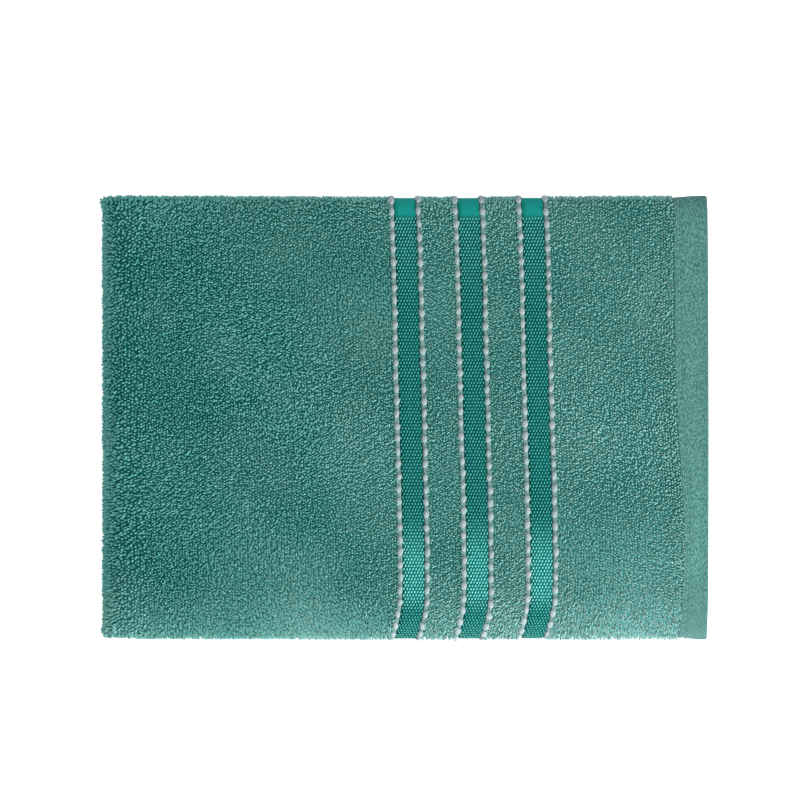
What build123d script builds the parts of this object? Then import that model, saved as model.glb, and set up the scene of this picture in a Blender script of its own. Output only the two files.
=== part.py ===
from build123d import *

from math import pi
import os

# Two bath towels, folded alike and stacked. Millimetres, +Z up.
# Each towel is folded in thirds across its width, then in half and in half again along its length.
# Origin: bottom centre of the stack. +X points to the ends with the woven hems, +Y across the stack.

# Cloth
TOWEL_WIDTH = 700.0
PLY_PITCH = 4.0        # room that one ply of terry takes in the pile
SLIT = 0.3             # gap between two plies, and between the two towels
PLY = PLY_PITCH - SLIT
HEM_PLY = 2.4          # flat-woven hem, turned once

# Folded towel
FOLDED_LENGTH = 324.0
FOLDED_WIDTH = 237.0
PLIES_IN_STRIP = 3
STRIP = PLIES_IN_STRIP * PLY_PITCH
TOWEL_HEIGHT = 4 * STRIP
OUTER_RADIUS = 1.5 * STRIP     # middle of the strip, round the outer fold
INNER_RADIUS = 0.5 * STRIP     # middle of the strip, round the inner and right folds
HEM_X = (FOLDED_LENGTH - SLIT) / 2
OUTER_FOLD_X = -FOLDED_LENGTH / 2 + OUTER_RADIUS + STRIP / 2
RIGHT_FOLD_X = FOLDED_LENGTH / 2 - INNER_RADIUS - STRIP / 2
JOINT_GAP = 0.3                # between the folds and the panels that swing away from them

# Fold in thirds, in the section across the towel: Y across, N towards the outer face of the strip
NEAR_RADIUS = PLY_PITCH / 2    # fold at -Y, between the outer ply and the middle one
FAR_RADIUS = PLY_PITCH         # fold at +Y, round the middle ply
NEAR_Y = -(FOLDED_WIDTH - SLIT) / 2 + NEAR_RADIUS + PLY / 2
FAR_Y = (FOLDED_WIDTH - SLIT) / 2 - FAR_RADIUS - PLY / 2
OUTER_PLY_N = PLY_PITCH
MIDDLE_EDGE_Y = FAR_Y - 1.5    # cut edge of the middle ply
FOLD_LENGTHS = pi * (NEAR_RADIUS + FAR_RADIUS)
OUTER_PLY_LENGTH = FAR_Y - NEAR_Y
MIDDLE_PLY_LENGTH = MIDDLE_EDGE_Y - NEAR_Y
INNER_PLY_LENGTH = TOWEL_WIDTH - FOLD_LENGTHS - OUTER_PLY_LENGTH - MIDDLE_PLY_LENGTH
INNER_EDGE_Y = FAR_Y - INNER_PLY_LENGTH

# Border at both ends of each towel
HEM_WIDTH = 18.7
BAND_FROM_HEM_END = (92.0, 126.0, 160.0)
SATIN_WIDTH = 11.2
CORD_SPACING = 14.4
CORD_WIDTH = 2.9
GROOVE_WIDTH = CORD_SPACING + CORD_WIDTH
GROOVE_DEPTH = 1.2
SATIN_DEPTH = 0.6      # top of the satin below the face of the terry
CORD_DEPTH = 0.05      # top of the cords below the face of the terry
SEAM_FROM_HEM_EDGE = 2.7
SEAM_WIDTH = 0.8
SEAM_THICKNESS = 0.35
SEAM_END_GAP = 3.0
SIDE_HEM_WIDTH = 8.0

UP, DOWN = 1, -1       # which way the outer face of the strip looks


def bar(y_from, y_to, n_from, n_to, side):
    """Rectangle in the section across the towel."""
    middle = (y_from + y_to) / 2, side * (n_from + n_to) / 2
    return Pos(*middle) * Rectangle(abs(y_to - y_from), abs(n_to - n_from))


def bend(y, n, radius, thickness, part, side):
    """Part of a ring in the section: part is the rectangle that the ring is kept inside."""
    ring = Circle(radius + thickness / 2) - Circle(radius - thickness / 2)
    return (Pos(y, side * n) * ring) & part


def thirds_section(thickness, side):
    """The towel folded in thirds: outer, middle and inner ply, joined by two rounded long edges."""
    half = thickness / 2
    reach = 2 * STRIP
    outer = bar(NEAR_Y, FAR_Y, OUTER_PLY_N - half, OUTER_PLY_N + half, side)
    middle = bar(NEAR_Y, MIDDLE_EDGE_Y, -half, half, side)
    inner = bar(INNER_EDGE_Y, FAR_Y, -OUTER_PLY_N - half, -OUTER_PLY_N + half, side)
    near = bend(NEAR_Y, NEAR_RADIUS, NEAR_RADIUS, thickness,
                bar(NEAR_Y - reach, NEAR_Y, -reach, reach, side), side)
    far = bend(FAR_Y, 0, FAR_RADIUS, thickness,
               bar(FAR_Y, FAR_Y + reach, -reach, reach, side), side)
    return outer + near + middle + far + inner


def face_section(depth_low, depth_high, side):
    """Strip that follows the outer face and turns down over both long edges, between two depths."""
    thickness = depth_low - depth_high
    depth = (depth_low + depth_high) / 2
    reach = 2 * STRIP
    face = OUTER_PLY_N + PLY / 2
    flat = bar(NEAR_Y, FAR_Y, face - depth_low, face - depth_high, side)
    near = bend(NEAR_Y, NEAR_RADIUS, NEAR_RADIUS + PLY / 2 - depth, thickness,
                bar(NEAR_Y - reach, NEAR_Y, NEAR_RADIUS, reach, side), side)
    far = bend(FAR_Y, 0, FAR_RADIUS + PLY / 2 - depth, thickness,
               bar(FAR_Y, FAR_Y + reach, 0, reach, side), side)
    return flat + near + far


def section_plane(x, z):
    return Plane(origin=(x, 0, z), x_dir=(0, 1, 0), z_dir=(1, 0, 0))


def run(section, x_from, x_to, z):
    """The section drawn out along the towel."""
    return extrude(section_plane(x_from, z) * section, amount=x_to - x_from, dir=(1, 0, 0))


def turn(section, x, z, z_axis, towards_hem):
    """The section turned half round an axis across the towel."""
    axis = Axis((x, 0, z_axis), (0, 1 if towards_hem else -1, 0))
    return revolve(section_plane(x, z) * section, axis, revolution_arc=180)


def border(z, side):
    """Bands, cords, hem and seam at one end of a towel, and the panel cut to take the bands."""
    hem_edge = HEM_X - HEM_WIDTH
    start = OUTER_FOLD_X + JOINT_GAP
    panel = run(thirds_section(PLY, side), start, hem_edge, z)
    pieces = {}
    for number, from_end in enumerate(BAND_FROM_HEM_END, 1):
        x = HEM_X - from_end
        groove = face_section(GROOVE_DEPTH, -GROOVE_DEPTH, side)
        panel -= run(groove, x - GROOVE_WIDTH / 2, x + GROOVE_WIDTH / 2, z)
        satin = face_section(GROOVE_DEPTH, SATIN_DEPTH, side)
        pieces[f"satin_band_{number}"] = run(satin, x - SATIN_WIDTH / 2, x + SATIN_WIDTH / 2, z)
        cord = face_section(GROOVE_DEPTH, CORD_DEPTH, side)
        cords = [run(cord, at - CORD_WIDTH / 2, at + CORD_WIDTH / 2, z)
                 for at in (x - CORD_SPACING / 2, x + CORD_SPACING / 2)]
        pieces[f"bead_cords_{number}"] = Compound(children=cords)
    pieces["end_hem"] = run(thirds_section(HEM_PLY, side), hem_edge, HEM_X, z)
    pieces["hem_seam"] = hem_seam(hem_edge + SEAM_FROM_HEM_EDGE, z, side)
    return panel, pieces


def hem_seam(x, z, side):
    face = OUTER_PLY_N + HEM_PLY / 2
    seam = bar(NEAR_Y + SEAM_END_GAP, FAR_Y - SEAM_END_GAP, face, face + SEAM_THICKNESS, side)
    return run(seam, x - SEAM_WIDTH / 2, x + SEAM_WIDTH / 2, z)


def side_hem(x_from, x_to, z, side):
    """Narrow hems on the two cut long edges, which lie inside and under the strip."""
    half = HEM_PLY / 2
    middle = bar(MIDDLE_EDGE_Y - SIDE_HEM_WIDTH, MIDDLE_EDGE_Y, -half, half, side)
    inner = bar(INNER_EDGE_Y, INNER_EDGE_Y + SIDE_HEM_WIDTH,
                -OUTER_PLY_N - half, -OUTER_PLY_N + half, side)
    return [run(edge, x_from, x_to, z) for edge in (middle, inner)]


def without_side_hem(panel, x_from, x_to, z, side):
    """Makes room for the narrow hems, which are thinner than the terry."""
    middle = bar(MIDDLE_EDGE_Y - SIDE_HEM_WIDTH, MIDDLE_EDGE_Y + 1, -PLY_PITCH / 2, PLY_PITCH / 2, side)
    inner = bar(INNER_EDGE_Y - 1, INNER_EDGE_Y + SIDE_HEM_WIDTH,
                -OUTER_PLY_N - PLY_PITCH / 2, -OUTER_PLY_N + PLY_PITCH / 2, side)
    return panel - run(middle, x_from, x_to, z) - run(inner, x_from, x_to, z)


def towel(base):
    """All pieces of one folded towel that stands on the height base."""
    middle = base + (TOWEL_HEIGHT - SLIT) / 2
    top_z = middle + OUTER_RADIUS
    third_z = middle + INNER_RADIUS
    second_z = middle - INNER_RADIUS
    bottom_z = middle - OUTER_RADIUS
    hem_edge = HEM_X - HEM_WIDTH
    swing_x = OUTER_FOLD_X + JOINT_GAP

    pieces = {}
    pieces["top_panel"], top = border(top_z, UP)
    pieces["third_panel"], inside = border(third_z, DOWN)
    pieces.update({f"top_{name}": piece for name, piece in top.items()})
    pieces.update({f"inner_{name}": piece for name, piece in inside.items()})
    down, up = thirds_section(PLY, DOWN), thirds_section(PLY, UP)
    pieces["second_panel"] = run(up, OUTER_FOLD_X, RIGHT_FOLD_X, second_z)
    pieces["bottom_panel"] = run(down, OUTER_FOLD_X, RIGHT_FOLD_X, bottom_z)
    pieces["outer_fold"] = turn(up, OUTER_FOLD_X, top_z, middle, towards_hem=False)
    pieces["inner_fold"] = turn(down, OUTER_FOLD_X, third_z, middle, towards_hem=False)
    pieces["right_fold"] = turn(up, RIGHT_FOLD_X, second_z, middle - 2 * INNER_RADIUS, towards_hem=True)

    spans = {
        "top_panel": (swing_x, hem_edge, top_z, UP),
        "third_panel": (swing_x, hem_edge, third_z, DOWN),
        "second_panel": (OUTER_FOLD_X, RIGHT_FOLD_X, second_z, UP),
        "bottom_panel": (OUTER_FOLD_X, RIGHT_FOLD_X, bottom_z, DOWN),
    }
    for name, span in spans.items():
        pieces[name] = without_side_hem(pieces[name], *span)
    halves = {"top": ("top_panel", "third_panel"), "bottom": ("second_panel", "bottom_panel")}
    for half, names in halves.items():
        edges = [edge for name in names for edge in side_hem(*spans[name])]
        pieces[f"side_hems_{half}_half"] = Compound(children=edges)
    return pieces


os.makedirs("parts", exist_ok=True)
for place, base in (("lower", 0.0), ("upper", TOWEL_HEIGHT)):
    for name, piece in towel(base).items():
        export_step(piece, f"parts/{place}_{name}.step")
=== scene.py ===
import math

import bpy
import numpy as np
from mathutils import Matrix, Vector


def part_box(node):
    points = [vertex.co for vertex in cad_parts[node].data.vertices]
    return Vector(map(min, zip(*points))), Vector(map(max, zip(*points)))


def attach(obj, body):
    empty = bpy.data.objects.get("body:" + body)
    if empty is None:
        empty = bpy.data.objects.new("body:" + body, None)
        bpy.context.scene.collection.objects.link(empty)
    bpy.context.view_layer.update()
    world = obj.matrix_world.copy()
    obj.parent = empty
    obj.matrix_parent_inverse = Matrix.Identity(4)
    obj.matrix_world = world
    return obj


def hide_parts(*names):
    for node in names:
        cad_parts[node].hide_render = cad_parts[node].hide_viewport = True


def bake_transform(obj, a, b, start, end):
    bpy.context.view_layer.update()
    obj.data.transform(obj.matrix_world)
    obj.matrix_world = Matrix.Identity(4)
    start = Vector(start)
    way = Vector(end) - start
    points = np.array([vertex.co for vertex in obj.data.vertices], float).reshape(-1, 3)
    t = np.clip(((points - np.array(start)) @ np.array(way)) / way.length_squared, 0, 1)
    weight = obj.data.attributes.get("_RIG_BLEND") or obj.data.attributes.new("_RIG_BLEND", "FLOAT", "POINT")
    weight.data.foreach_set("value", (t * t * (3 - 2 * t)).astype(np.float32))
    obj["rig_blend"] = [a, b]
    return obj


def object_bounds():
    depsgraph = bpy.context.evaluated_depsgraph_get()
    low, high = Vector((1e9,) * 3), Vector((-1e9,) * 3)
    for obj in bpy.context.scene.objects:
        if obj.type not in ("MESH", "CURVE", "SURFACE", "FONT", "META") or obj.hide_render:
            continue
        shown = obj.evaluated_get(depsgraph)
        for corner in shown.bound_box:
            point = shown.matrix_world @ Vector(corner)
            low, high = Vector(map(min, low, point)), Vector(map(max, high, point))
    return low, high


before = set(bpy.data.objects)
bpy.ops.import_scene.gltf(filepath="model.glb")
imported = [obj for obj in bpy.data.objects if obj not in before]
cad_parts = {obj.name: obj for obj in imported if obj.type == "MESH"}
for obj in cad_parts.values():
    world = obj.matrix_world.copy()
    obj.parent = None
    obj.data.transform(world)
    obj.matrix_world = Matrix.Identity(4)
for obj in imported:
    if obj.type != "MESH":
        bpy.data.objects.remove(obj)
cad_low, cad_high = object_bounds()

# Two bath towels of dyed cotton terry, folded alike and stacked. Metres, in the CAD model's frame.
# A towel is one sheet, folded in thirds across its width and in quarters along its length.
# A place on the sheet is (u, v, h): u across the width, v along the length from the hem on top,
# h above the middle of the cloth, on the side that ends up outside.

MM = 0.001

# The flat towel
TOWEL_WIDTH = 700 * MM
SIDE_HEM = 8 * MM
GROUND_HALF = 0.6 * MM  # half the thickness of the woven ground that the loops stand on
HEM_HALF = 1.0 * MM
SIDE_HEM_HALF = 0.8 * MM
BAND_FROM_END = (92 * MM, 126 * MM, 160 * MM)
SATIN_WIDTH = 11.2 * MM
CORD_SPACING = 14.4 * MM
CORD_WIDTH = 2.9 * MM
SEAM_FROM_END = 16 * MM

# The fold in thirds
PLY_PITCH = 4 * MM
NEAR_RADIUS = PLY_PITCH / 2
FAR_RADIUS = PLY_PITCH
HALF_PLY = 1.85 * MM

# What the frame gives
TOWELS = ("lower", "upper")
top_hem_low, top_hem_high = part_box("upper_top_end_hem")
outer_low, outer_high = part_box("upper_outer_fold")
HEM_X = top_hem_high.x
HEM_WIDTH = top_hem_high.x - top_hem_low.x
FOLD_X = outer_high.x
RIGHT_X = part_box("upper_right_fold")[0].x
EDGE_Y = outer_high.y
OUTER_RADIUS = (outer_high.z - outer_low.z) / 2 - PLY_PITCH - HALF_PLY
INNER_RADIUS = OUTER_RADIUS / 3
NEAR_Y = outer_low.y + NEAR_RADIUS + HALF_PLY
FAR_Y = outer_high.y - FAR_RADIUS - HALF_PLY
MIDDLE_EDGE_Y = FAR_Y - 1.5 * MM
MIDDLE_Z = {t: sum(c.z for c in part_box(f"{t}_outer_fold")) / 2 for t in TOWELS}

# Lengths of cloth along v: top panel, outer fold, bottom panel, right fold, second, inner fold, third
TOP_RUN = HEM_X - FOLD_X
PANEL_RUN = RIGHT_X - FOLD_X
V_STOPS = np.cumsum([0, TOP_RUN, math.pi * OUTER_RADIUS, PANEL_RUN, math.pi * INNER_RADIUS,
                     PANEL_RUN, math.pi * INNER_RADIUS, TOP_RUN])
V_END = V_STOPS[-1]
# Lengths of cloth along u: middle ply, near fold, outer ply, far fold, inner ply
U_STOPS = np.cumsum([0, MIDDLE_EDGE_Y - NEAR_Y, math.pi * NEAR_RADIUS, FAR_Y - NEAR_Y,
                     math.pi * FAR_RADIUS])
U_END = TOWEL_WIDTH
OUTER_FROM, OUTER_TO = U_STOPS[2], U_STOPS[3]

# How the soft stack settles. Near is -Y and far is +Y.
NEAR_SOFT, NEAR_DROP = 27 * MM, 0.28  # reach of the near rounding, and the share of height it loses
FAR_SOFT, FAR_DROP = 14 * MM, 0.20
NEAR_STEEPEST, FAR_STEEPEST = 0.985, 0.95  # share of its reach at which a rounding gets no steeper
NEAR_SAG = 0.115  # share of its height by which the stack sags along -Y
EDGE_SQUARENESS = 5  # how square the stack presses the long-edge folds: 2 is round
FOLD_SQUARENESS = 3.2  # the same for the big outer fold
CROWN_FROM, CROWN_TO = 45 * MM, 2 * EDGE_Y  # the top face falls gently before the rounding starts
CROWN_DROP = 6.0 * MM  # its fall at CROWN_TO, which lies past the edge
FOLD_FULLNESS = 1.03  # how much the outer fold swells past its round shape
CORNER_FILL = 0.24  # the plies fan out and fill the corners of the outer fold
NEAR_CORNER, FAR_CORNER = 0.5, 0.7  # each corner's share of that
THIN_PLIES = 0.3  # share by which the plies close up where they end in thin hems
END_REACH = 1.4  # how far this goes on past the hem, in widths of the hem
BOW_FAR, BOW_NEAR, BOW_MIDDLE = -2.5 * MM, -4.6 * MM, 2.6 * MM
BOW_FAR_CURVE, BOW_NEAR_CURVE = 2.4, 1.8  # how late the bow sets in towards each edge
BOW_FULL = 90 * MM  # how far from the outer fold the bow has its full size
BOW_FADE_FROM, BOW_FADE = 80 * MM, 0.75  # from this x to the hem it fades by this share
MIDDLE_FROM, MIDDLE_TO = -85 * MM, 55 * MM  # the y between which the middle's bow fades out
HEM_BOW = 2.6 * MM  # how far the pile's end strays over the hem's near half
HEM_BOW_FROM, HEM_BOW_Y, HEM_BOW_WIDTH = 60 * MM, -62 * MM, 48 * MM
INNER_END_SHORT, SHORT_FROM = 2.5 * MM, 90 * MM
HEM_DROOP = {"top": 2.6 * MM, "inner": 1.4 * MM}
HEM_REACH = 1.9 * MM
HEM_SPREAD = 2.0 * MM  # how far the hem's end slides out where the stack sags
LAYER_WAVES = ((0.6 * MM, 6.1, 0.0), (0.4 * MM, 15.3, 2.0))  # size, radians a metre along v, start
SWELL = 0.33 * MM
# Share of SWELL, radians a metre along x and y, start, and 1 where it differs in the lower towel
SWELL_WAVES = ((1.0, 41, 23, 0.0, 1), (0.8, -29, 47, 1.1, 0), (0.6, 83, 15, 2.3, 1))
LOWER_PHASE = 1.7  # the lower towel's waves differ from the upper one's
LOWER_SHIFT_X, LOWER_SHIFT_Y, LOWER_TURN = 0.4 * MM, 0.5 * MM, 0.004  # it lies slightly askew


def smooth(low, high, value):
    """0 below low, 1 above high, and a smooth step between."""
    t = np.clip((value - low) / (high - low), 0, 1)
    return t * t * (3 - 2 * t)


def pressed(sin, cos, squareness):
    """Carries a point of a round fold outwards to the squarer shape that a pressed fold takes."""
    reach = (np.abs(sin) ** squareness + np.abs(cos) ** squareness) ** (-1 / squareness)
    return sin * reach, cos * reach


def strip_place(v):
    """Middle line of the folded strip, from the towel's middle height: x, z and the outward direction."""
    x, z, out_x, out_z = (np.zeros_like(v) for _ in range(4))
    big, small = OUTER_RADIUS, INNER_RADIUS
    lengths = np.diff(V_STOPS)
    for part in range(7):
        s = v - V_STOPS[part]
        here = (v >= V_STOPS[part]) if part else np.full(v.shape, True)
        turn = math.pi * s / lengths[part]
        sin, cos, zero, one = np.sin(turn), np.cos(turn), 0 * s, 0 * s + 1
        out, up = pressed(sin, cos, FOLD_SQUARENESS)
        place = (
            (HEM_X - s, zero + big, zero, one),
            (FOLD_X - big * out, big * up, -out, up),
            (FOLD_X + s, zero - big, zero, -one),
            (RIGHT_X + small * sin, -2 * small - small * cos, sin, -cos),
            (RIGHT_X - s, zero - small, zero, one),
            (FOLD_X - small * sin, -small * cos, sin, cos),
            (FOLD_X + s, zero + small, zero, -one),
        )[part]
        for target, value in zip((x, z, out_x, out_z), place):
            target[here] = value[here]
    return x, z, out_x, out_z


def thirds_place(u):
    """The fold in thirds: y, height n over the strip's middle line, and the cloth's direction in (y, n)."""
    y, n, dir_y, dir_n = (np.zeros_like(u) for _ in range(4))
    for part in range(5):
        s = u - U_STOPS[part]
        here = (u >= U_STOPS[part]) if part else np.full(u.shape, True)
        zero, one = 0 * s, 0 * s + 1
        near, far = s / NEAR_RADIUS, s / FAR_RADIUS
        near_out, near_up = pressed(np.sin(near), np.cos(near), EDGE_SQUARENESS)
        far_out, far_up = pressed(np.sin(far), np.cos(far), EDGE_SQUARENESS)
        place = (
            (MIDDLE_EDGE_Y - s, zero, zero, -one),
            (NEAR_Y - NEAR_RADIUS * near_out, NEAR_RADIUS * (1 - near_up), -near_out, -near_up),
            (NEAR_Y + s, zero + PLY_PITCH, zero, one),
            (FAR_Y + FAR_RADIUS * far_out, FAR_RADIUS * far_up, far_out, far_up),
            (FAR_Y - s, zero - PLY_PITCH, zero, -one),
        )[part]
        for target, value in zip((y, n, dir_y, dir_n), place):
            target[here] = value[here]
    return y, n, dir_y, dir_n


def edge_share(y):
    """How far out a point lies on the soft near and far long edges: 0 where they start, 1 at the edge."""
    near = np.clip((-y - EDGE_Y + NEAR_SOFT) / NEAR_SOFT, 0, NEAR_STEEPEST)
    far = np.clip((y - EDGE_Y + FAR_SOFT) / FAR_SOFT, 0, FAR_STEEPEST)
    return near, far


def rounded(share):
    """The fall of a quarter circle at a share of its reach."""
    return 1 - np.sqrt(1 - share**2)


def cloth_place(towel, u, v, h):
    """Place of a point of the folded towel, with the slack and softness of real cloth."""
    u, v, h = np.broadcast_arrays(*(np.asarray(a, float) for a in (u, v, h)))
    x, z, out_x, out_z = strip_place(v)
    y, n, dir_y, dir_n = thirds_place(u)
    at_top_end = 1 - smooth(0, END_REACH * HEM_WIDTH, v)
    at_inner_end = 1 - smooth(0, END_REACH * HEM_WIDTH, V_END - v)
    at_end = np.maximum(at_top_end, at_inner_end)
    n = n * (1 - THIN_PLIES * at_end) + h * dir_n
    y = y + h * dir_y
    x = x + n * out_x
    z = z + n * out_z
    # Thin hems still reach as far out as the pile beside them
    y = y + HEM_REACH * at_end * np.clip(y / EDGE_Y, -1, 1) ** 9
    # Rounded long edges, and the outer fold's corners filled out by the plies
    near, far = edge_share(y)
    z = z * (1 - NEAR_DROP * rounded(near) - FAR_DROP * rounded(far))
    fill = FOLD_FULLNESS + CORNER_FILL * (NEAR_CORNER * near**4 + FAR_CORNER * far**4)
    x = np.where(x < FOLD_X, FOLD_X + (x - FOLD_X) * fill, x)
    # Ends that lie a little short, and thin hems that droop
    x = x - INNER_END_SHORT * smooth(V_END - SHORT_FROM, V_END, v)
    z = z - HEM_DROOP["top"] * at_top_end**2 - HEM_DROOP["inner"] * at_inner_end**2
    # The bands bow towards the fold at both long edges
    bow = (BOW_FAR * np.clip(y / EDGE_Y, 0, 1) ** BOW_FAR_CURVE
           + BOW_NEAR * np.clip((-y - EDGE_Y + NEAR_SOFT) / NEAR_SOFT, 0, 1) ** BOW_NEAR_CURVE)
    bow = bow * (1 - BOW_FADE * smooth(BOW_FADE_FROM, HEM_X, x))
    off_hem = 1 - smooth(HEM_X - HEM_WIDTH, HEM_X, x)
    bow = bow + BOW_MIDDLE * (1 - smooth(MIDDLE_FROM, MIDDLE_TO, y)) * off_hem
    pile_end = smooth(HEM_BOW_FROM, HEM_X - HEM_WIDTH, x) * off_hem
    bow = bow + HEM_BOW * np.exp(-((y - HEM_BOW_Y) / HEM_BOW_WIDTH) ** 2) * pile_end
    x = x + bow * smooth(FOLD_X, FOLD_X + BOW_FULL, x)
    x = x + HEM_SPREAD * rounded(near) * smooth(HEM_X - 3 * HEM_WIDTH, HEM_X, x)
    # Layers never lie quite flush, and the pile has soft swells
    phase = LOWER_PHASE if towel == "lower" else 0.0
    for size, turns, start in LAYER_WAVES:
        y = y + size * np.sin(turns * v + start + phase)
    swell = sum(size * np.sin(turns_x * x + turns_y * y + start + own * phase)
                for size, turns_x, turns_y, start, own in SWELL_WAVES)
    height = z + MIDDLE_Z[towel]
    share_up = np.clip(height / MIDDLE_Z["upper"], 0, 1.3)
    crown = CROWN_DROP * smooth(CROWN_FROM, CROWN_TO, -y)
    z = height * (1 - NEAR_SAG * rounded(near)) + share_up * (SWELL * swell - crown)
    if towel == "lower":
        x, y = x - LOWER_SHIFT_X - LOWER_TURN * y, y + LOWER_SHIFT_Y + LOWER_TURN * x
    return np.stack([x, y, z], -1)


def cloth_axes(towel, u, v, h):
    """Outward direction and the direction along v at points of the cloth."""
    step = 0.2 * MM
    du = cloth_place(towel, u + step, v, h) - cloth_place(towel, u - step, v, h)
    dv = cloth_place(towel, u, v + step, h) - cloth_place(towel, u, v - step, h)
    out = np.cross(du, dv)
    out /= np.linalg.norm(out, axis=-1, keepdims=True)
    dv /= np.linalg.norm(dv, axis=-1, keepdims=True)
    return out, dv


def fold_share(v):
    """How far a point follows the upper half: 1 on it, 0 on the lower half, the turn's share between."""
    outer = 1 - np.clip((v - V_STOPS[1]) / (V_STOPS[2] - V_STOPS[1]), 0, 1)
    inner = np.clip((v - V_STOPS[5]) / (V_STOPS[6] - V_STOPS[5]), 0, 1)
    return np.maximum(outer, inner)


# Materials

# Sizes of the patterns. Fibres, threads and filaments are drawn coarser than real ones, so that they show.
LOOP_TONE = 1.1 * MM  # loops differ in shade from one to the next
COTTON_FIBRE = 0.45 * MM
GROUND_THREAD = 0.8 * MM
FLOAT_PATCH = 2.6 * MM  # a few floats that catch the light together
SATIN_THREAD = 1.2 * MM
SLUB_STRAND = 1.1 * MM
BINDING_STRAND = 0.9 * MM
HEM_RIB, RIB_STRETCH, RIB_SLANT = 0.55 * MM, 0.45, math.radians(18)
SEAM_TWIST = 0.6 * MM

# Painted haze over the pile, standing in for the sheen of light on it, and a painted shade spot: how much at
# most, and from where to where
HAZE_ALONG, HAZE_TO_X = 0.60, 90 * MM
HAZE_NEAR, HAZE_FROM_Y = 0.45, -70 * MM
CLOUD_CHANGE, CLOUD = 0.22, 45 * MM
SHADE_SPOT_CHANGE, SHADE_SPOT_FROM, SHADE_SPOT_TO = -0.2, 4 * MM, 34 * MM
SHADE_SPOT = (88 * MM, -74 * MM, MIDDLE_Z["upper"] + OUTER_RADIUS)

# Painted highlights on the satin: where it bends down, in y, and towards the far edge, where it is painted
# smooth and bright
BEND_STARTS, BEND_STEEP = -48 * MM, -78 * MM
BEND_FADES, BEND_ENDS = -94 * MM, -103 * MM
FAR_SHINE, FAR_SHINE_FROM, FAR_SHINE_TO = 0.3, 60 * MM, 95 * MM
FAR_GLEAM_FROM, FAR_GLEAM_TO = EDGE_Y - 13 * MM, EDGE_Y - 9 * MM
GROUND_SHINE = 0.35

# Where the hem is darker: along its cut end and towards the near edge
HEM_DARK_END, HEM_DARK_WIDTH = 0.35, 4 * MM
HEM_DARK_NEAR, HEM_DARK_FROM, HEM_DARK_TO = 0.5, -80 * MM, -105 * MM


def linear(code):
    """An sRGB hex value as the linear colour that a shader takes."""
    parts = [int(code[i:i + 2], 16) / 255 for i in (1, 3, 5)]
    return [c / 12.92 if c <= 0.04045 else ((c + 0.055) / 1.055) ** 2.4 for c in parts] + [1.0]


def add(tree, kind, inputs=None, **settings):
    """Adds a node. settings are its properties; inputs holds values, outputs or whole nodes by socket."""
    node = tree.nodes.new(kind)
    for name, value in settings.items():
        setattr(node, name, value)
    for key, value in (inputs or {}).items():
        if isinstance(value, bpy.types.Node):
            value = next(output for output in value.outputs if output.enabled)
        if isinstance(value, bpy.types.NodeSocket):
            tree.links.new(value, node.inputs[key])
        else:
            node.inputs[key].default_value = value
    return node


def new_material(name):
    material = bpy.data.materials.new(name)
    material.use_nodes = True
    material.node_tree.nodes.clear()
    return material, material.node_tree


def towel_material(name):
    """A new material, its tree, and the place on the object that its patterns follow."""
    material, tree = new_material(name)
    return material, tree, add(tree, "ShaderNodeTexCoord").outputs["Object"]


def finish_material(tree, colour, height, depth, **surface):
    """The shader and its bump: surface holds the constants set on the shader's own sockets."""
    bump = add(tree, "ShaderNodeBump", {"Strength": 1.0, "Distance": depth, "Height": height})
    shader = add(tree, "ShaderNodeBsdfPrincipled", {"Base Color": colour, "Normal": bump})
    for name, value in surface.items():
        shader.inputs[name.replace("_", " ")].default_value = value
    add(tree, "ShaderNodeOutputMaterial", {"Surface": shader})


def painted_haze(tree, place):
    """Painted haze standing in for sheen on the pile: most along the near fold and towards the hem, least in
    a painted shade spot.
    """
    axes = add(tree, "ShaderNodeSeparateXYZ", {0: place}).outputs
    # Painted haze, standing in for sheen, grows towards the hem and the near edge
    along = add(tree, "ShaderNodeMapRange", {0: axes[0], 1: FOLD_X, 2: HAZE_TO_X, 4: HAZE_ALONG})
    near = add(tree, "ShaderNodeMapRange", {0: axes[1], 1: HAZE_FROM_Y, 2: -EDGE_Y, 4: HAZE_NEAR})
    cloud = add(tree, "ShaderNodeTexNoise", {"Vector": place, "Scale": 1 / CLOUD, "Detail": 2.0})
    patch = add(tree, "ShaderNodeMapRange", {0: cloud, 1: 0.3, 2: 0.7, 3: -CLOUD_CHANGE, 4: CLOUD_CHANGE})
    # Painted shade: a spot where the haze is taken away
    from_shade_spot = add(tree, "ShaderNodeVectorMath", {0: place, 1: SHADE_SPOT}, operation="DISTANCE")
    shade_spot = add(tree, "ShaderNodeMapRange",
                 {0: from_shade_spot, 1: SHADE_SPOT_FROM, 2: SHADE_SPOT_TO, 3: SHADE_SPOT_CHANGE, 4: 0.0},
                 interpolation_type="SMOOTHSTEP")
    total = add(tree, "ShaderNodeMath", {0: along, 1: near}, operation="ADD")
    total = add(tree, "ShaderNodeMath", {0: total, 1: patch}, operation="ADD")
    return add(tree, "ShaderNodeMath", {0: total, 1: shade_spot}, operation="ADD", use_clamp=True)


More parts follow.
